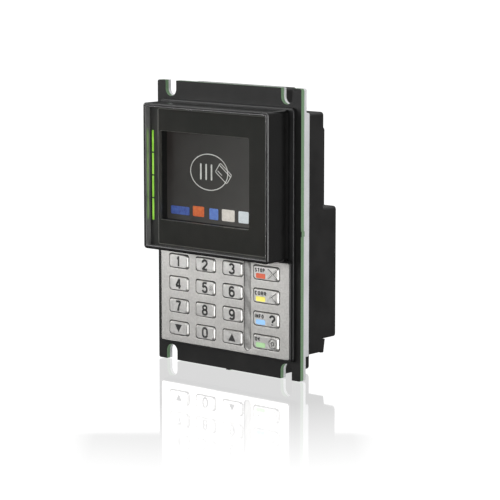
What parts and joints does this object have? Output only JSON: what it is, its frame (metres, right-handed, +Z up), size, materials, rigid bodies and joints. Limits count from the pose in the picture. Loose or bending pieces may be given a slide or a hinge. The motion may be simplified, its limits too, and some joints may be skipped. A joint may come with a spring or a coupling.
{
  "type": "card payment terminal",
  "caption": "Panel-mounted card payment terminal: gloss black contactless reader head with display and status lights over a steel key field, on a slotted flange with a rear electronics housing.",
  "frame": {"origin": "middle of the mounting flange, on its front (seating) face", "axes": "+X to the customer's right, -Y towards the customer, +Z up"},
  "size_m": [0.113, 0.0595, 0.1685],
  "materials": {
    "black_laminate": "satin solder-mask face on a green laminate edge",
    "bare_aluminium": "clear-passivated, fine rolled grain",
    "zinc_steel": "bright zinc plate",
    "black_plastic": "fine moulded texture, low sheen",
    "black_rubber": "matte closed-cell foam",
    "gloss_black": "smooth gloss moulding",
    "clear_window": "clear, polished, hard coated",
    "mask_black": "printed black, satin",
    "green_light": "translucent light guide, lit",
    "circuit_board": "green solder mask",
    "led_body": "clear epoxy",
    "display_glass": "dark display, lit icon",
    "tinned_steel": "bright tinned",
    "white_plastic": "natural nylon",
    "amber_ribbon": "amber film",
    "panel_steel": "fine bead-blasted stainless steel",
    "key_steel": "satin stainless steel with filled legends",
    "grey_rubber": "matte silicone",
    "brass_metal": "turned",
    "winding_tape": "yellow winding tape",
    "capacitor_sleeve": "dark blue sleeve"
  },
  "bodies": {
    "terminal": {"flange_board": "black_laminate", "mounting_plate": "bare_aluminium", "chassis_frame": "bare_aluminium", "chassis_screws": "zinc_steel", "front_body": "black_plastic", "head_gasket": "black_rubber", "head_housing": "gloss_black", "head_screws": "zinc_steel", "display_window": "clear_window", "window_mask": "mask_black", "status_light_bars": "green_light", "status_led_board": "circuit_board", "status_leds": "led_body", "antenna_board": "circuit_board", "lcd_panel": "display_glass", "lcd_frame": "tinned_steel", "lcd_backlight": "white_plastic", "lcd_ribbon": "amber_ribbon", "keypad_panel": "panel_steel", "key_mat": "grey_rubber", "keypad_board": "circuit_board", "keypad_backing": "tinned_steel", "keypad_screws": "zinc_steel", "keypad_ribbon": "amber_ribbon", "main_board": "circuit_board", "board_spacers": "brass_metal", "secure_shield": "tinned_steel", "card_sockets": "black_plastic", "backup_battery": "black_plastic", "buzzer": "black_plastic", "tamper_switches": "white_plastic", "network_socket": "tinned_steel", "usb_socket": "tinned_steel", "power_connector": "white_plastic", "rear_housing": "black_plastic", "housing_screws": "zinc_steel", "rear_cover": "black_plastic", "cover_screws": "zinc_steel", "rear_box": "black_plastic", "box_screws": "zinc_steel", "power_board": "circuit_board", "power_transformer": "winding_tape", "power_capacitors": "capacitor_sleeve", "earth_stud": "zinc_steel"},
    "key_1_cap": {"key_1": "key_steel"},
    "key_2_cap": {"key_2": "key_steel"},
    "key_3_cap": {"key_3": "key_steel"},
    "key_stop_cap": {"key_stop": "key_steel"},
    "key_4_cap": {"key_4": "key_steel"},
    "key_5_cap": {"key_5": "key_steel"},
    "key_6_cap": {"key_6": "key_steel"},
    "key_clear_cap": {"key_clear": "key_steel"},
    "key_7_cap": {"key_7": "key_steel"},
    "key_8_cap": {"key_8": "key_steel"},
    "key_9_cap": {"key_9": "key_steel"},
    "key_info_cap": {"key_info": "key_steel"},
    "key_down_cap": {"key_down": "key_steel"},
    "key_0_cap": {"key_0": "key_steel"},
    "key_up_cap": {"key_up": "key_steel"},
    "key_ok_cap": {"key_ok": "key_steel"}
  },
  "joints": [
    {"name": "key_1_press", "type": "slide", "parent": "terminal", "child": "key_1_cap", "axis": [0, 1, 0], "range_m": [0, 0.0008], "stiffness_N_per_m": 2500, "springref_m": -0.0002},
    {"name": "key_2_press", "type": "slide", "parent": "terminal", "child": "key_2_cap", "axis": [0, 1, 0], "range_m": [0, 0.0008], "stiffness_N_per_m": 2500, "springref_m": -0.0002},
    {"name": "key_3_press", "type": "slide", "parent": "terminal", "child": "key_3_cap", "axis": [0, 1, 0], "range_m": [0, 0.0008], "stiffness_N_per_m": 2500, "springref_m": -0.0002},
    {"name": "key_stop_press", "type": "slide", "parent": "terminal", "child": "key_stop_cap", "axis": [0, 1, 0], "range_m": [0, 0.0008], "stiffness_N_per_m": 2500, "springref_m": -0.0002},
    {"name": "key_4_press", "type": "slide", "parent": "terminal", "child": "key_4_cap", "axis": [0, 1, 0], "range_m": [0, 0.0008], "stiffness_N_per_m": 2500, "springref_m": -0.0002},
    {"name": "key_5_press", "type": "slide", "parent": "terminal", "child": "key_5_cap", "axis": [0, 1, 0], "range_m": [0, 0.0008], "stiffness_N_per_m": 2500, "springref_m": -0.0002},
    {"name": "key_6_press", "type": "slide", "parent": "terminal", "child": "key_6_cap", "axis": [0, 1, 0], "range_m": [0, 0.0008], "stiffness_N_per_m": 2500, "springref_m": -0.0002},
    {"name": "key_clear_press", "type": "slide", "parent": "terminal", "child": "key_clear_cap", "axis": [0, 1, 0], "range_m": [0, 0.0008], "stiffness_N_per_m": 2500, "springref_m": -0.0002},
    {"name": "key_7_press", "type": "slide", "parent": "terminal", "child": "key_7_cap", "axis": [0, 1, 0], "range_m": [0, 0.0008], "stiffness_N_per_m": 2500, "springref_m": -0.0002},
    {"name": "key_8_press", "type": "slide", "parent": "terminal", "child": "key_8_cap", "axis": [0, 1, 0], "range_m": [0, 0.0008], "stiffness_N_per_m": 2500, "springref_m": -0.0002},
    {"name": "key_9_press", "type": "slide", "parent": "terminal", "child": "key_9_cap", "axis": [0, 1, 0], "range_m": [0, 0.0008], "stiffness_N_per_m": 2500, "springref_m": -0.0002},
    {"name": "key_info_press", "type": "slide", "parent": "terminal", "child": "key_info_cap", "axis": [0, 1, 0], "range_m": [0, 0.0008], "stiffness_N_per_m": 2500, "springref_m": -0.0002},
    {"name": "key_down_press", "type": "slide", "parent": "terminal", "child": "key_down_cap", "axis": [0, 1, 0], "range_m": [0, 0.0008], "stiffness_N_per_m": 2500, "springref_m": -0.0002},
    {"name": "key_0_press", "type": "slide", "parent": "terminal", "child": "key_0_cap", "axis": [0, 1, 0], "range_m": [0, 0.0008], "stiffness_N_per_m": 2500, "springref_m": -0.0002},
    {"name": "key_up_press", "type": "slide", "parent": "terminal", "child": "key_up_cap", "axis": [0, 1, 0], "range_m": [0, 0.0008], "stiffness_N_per_m": 2500, "springref_m": -0.0002},
    {"name": "key_ok_press", "type": "slide", "parent": "terminal", "child": "key_ok_cap", "axis": [0, 1, 0], "range_m": [0, 0.0008], "stiffness_N_per_m": 2500, "springref_m": -0.0002}
  ]
}
